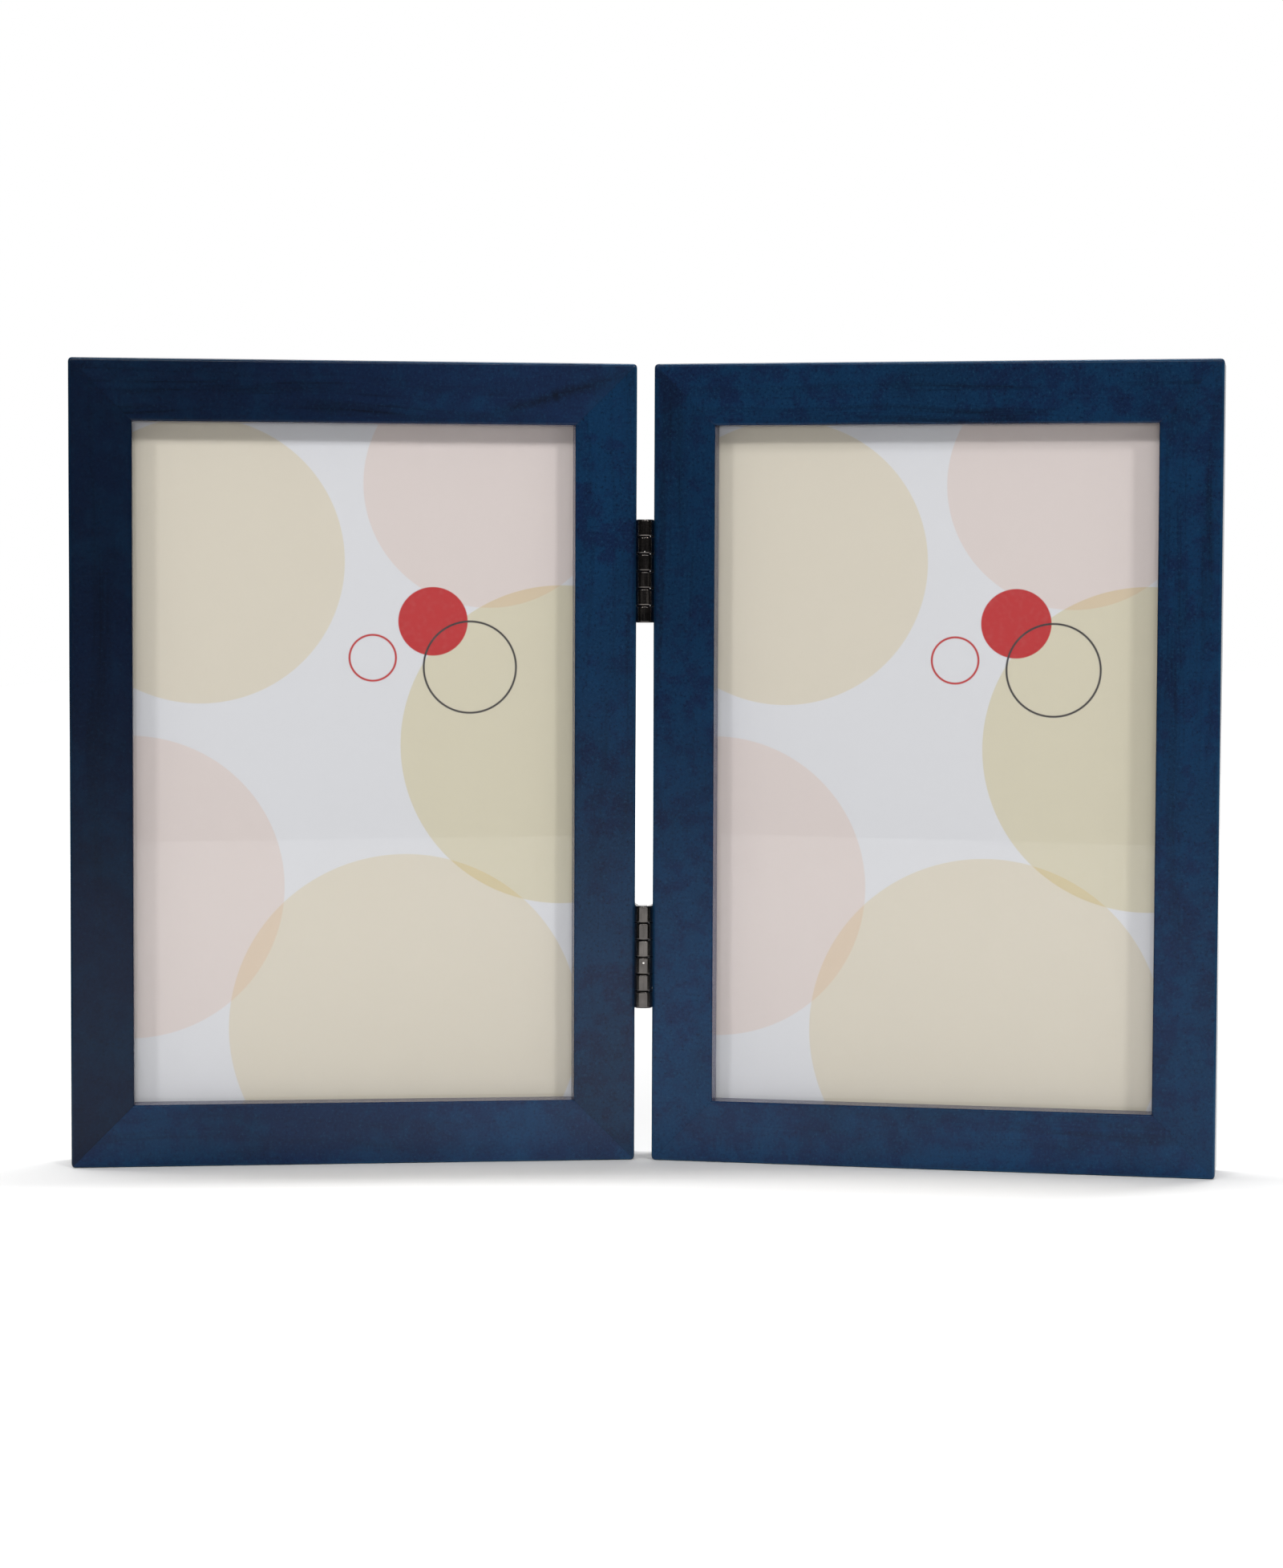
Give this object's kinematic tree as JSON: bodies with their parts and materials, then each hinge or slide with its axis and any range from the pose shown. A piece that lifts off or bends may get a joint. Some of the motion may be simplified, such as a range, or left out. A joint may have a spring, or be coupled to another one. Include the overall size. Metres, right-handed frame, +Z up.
{
  "type": "hinged double photo frame",
  "caption": "Free-standing double photo frame: mitred stained-wood wings on butt hinges, glazed windows, and backing boards held by turn buttons.",
  "frame": {"origin": "middle of the part's box, on the surface that the frame stands on", "axes": "+X along the width to the right as seen from the front, +Y from the fronts to the back, +Z up"},
  "size_m": [0.2492, 0.0338, 0.1742],
  "materials": {
    "stained_wood": "satin",
    "clear_glass": "polished",
    "printed_card": "satin",
    "grey_chipboard": "matte",
    "hardboard": "matte",
    "black_velvet": "matte",
    "black_nickel": "satin",
    "bright_steel": "satin"
  },
  "bodies": {
    "left_wing": {"left_top_rail": "stained_wood", "left_bottom_rail": "stained_wood", "left_outer_stile": "stained_wood", "left_hinge_stile": "stained_wood", "left_corner_v_nails": "bright_steel", "left_glass": "clear_glass", "left_photo_card": "printed_card", "left_filler_card": "grey_chipboard", "left_backing_board": "hardboard", "left_backing_velvet": "black_velvet", "left_turn_button_screws": "bright_steel", "left_upper_hinge_leaf": "black_nickel", "left_lower_hinge_leaf": "black_nickel", "left_hinge_screws": "black_nickel", "upper_hinge_pin": "black_nickel", "lower_hinge_pin": "black_nickel"},
    "right_wing": {"right_top_rail": "stained_wood", "right_bottom_rail": "stained_wood", "right_outer_stile": "stained_wood", "right_hinge_stile": "stained_wood", "right_corner_v_nails": "bright_steel", "right_glass": "clear_glass", "right_photo_card": "printed_card", "right_filler_card": "grey_chipboard", "right_backing_board": "hardboard", "right_backing_velvet": "black_velvet", "right_turn_button_screws": "bright_steel", "right_upper_hinge_leaf": "black_nickel", "right_lower_hinge_leaf": "black_nickel", "right_hinge_screws": "black_nickel"},
    "left_turn_button_bottom": {"left_turn_button_bottom": "bright_steel"},
    "left_turn_button_outer": {"left_turn_button_outer": "bright_steel"},
    "left_turn_button_top": {"left_turn_button_top": "bright_steel"},
    "left_turn_button_hinge": {"left_turn_button_hinge": "bright_steel"},
    "right_turn_button_bottom": {"right_turn_button_bottom": "bright_steel"},
    "right_turn_button_outer": {"right_turn_button_outer": "bright_steel"},
    "right_turn_button_top": {"right_turn_button_top": "bright_steel"},
    "right_turn_button_hinge": {"right_turn_button_hinge": "bright_steel"}
  },
  "joints": [
    {"name": "fold", "type": "hinge", "parent": "left_wing", "child": "right_wing", "pos_m": [0, 0.00098, 0], "axis": [0, 0, -1], "range_deg": [-23.6, 162.4]},
    {"name": "left_bottom_button_turn", "type": "hinge", "parent": "left_wing", "child": "left_turn_button_bottom", "pos_m": [-0.06427, 0.00563, 0.00475], "axis": [-0.153, 0.9882, 0], "range_deg": [-90, 90]},
    {"name": "left_outer_button_turn", "type": "hinge", "parent": "left_wing", "child": "left_turn_button_outer", "pos_m": [-0.12, -0.003, 0.0871], "axis": [-0.153, 0.9882, 0], "range_deg": [-90, 90]},
    {"name": "left_top_button_turn", "type": "hinge", "parent": "left_wing", "child": "left_turn_button_top", "pos_m": [-0.06427, 0.00563, 0.16945], "axis": [-0.153, 0.9882, 0], "range_deg": [-90, 90]},
    {"name": "left_hinge_button_turn", "type": "hinge", "parent": "left_wing", "child": "left_turn_button_hinge", "pos_m": [-0.00853, 0.01426, 0.0871], "axis": [-0.153, 0.9882, 0], "range_deg": [-90, 90]},
    {"name": "right_bottom_button_turn", "type": "hinge", "parent": "right_wing", "child": "right_turn_button_bottom", "pos_m": [0.06427, 0.00563, 0.00475], "axis": [0.153, 0.9882, 0], "range_deg": [-90, 90]},
    {"name": "right_outer_button_turn", "type": "hinge", "parent": "right_wing", "child": "right_turn_button_outer", "pos_m": [0.12, -0.003, 0.0871], "axis": [0.153, 0.9882, 0], "range_deg": [-90, 90]},
    {"name": "right_top_button_turn", "type": "hinge", "parent": "right_wing", "child": "right_turn_button_top", "pos_m": [0.06427, 0.00563, 0.16945], "axis": [0.153, 0.9882, 0], "range_deg": [-90, 90]},
    {"name": "right_hinge_button_turn", "type": "hinge", "parent": "right_wing", "child": "right_turn_button_hinge", "pos_m": [0.00853, 0.01426, 0.0871], "axis": [0.153, 0.9882, 0], "range_deg": [-90, 90]}
  ]
}
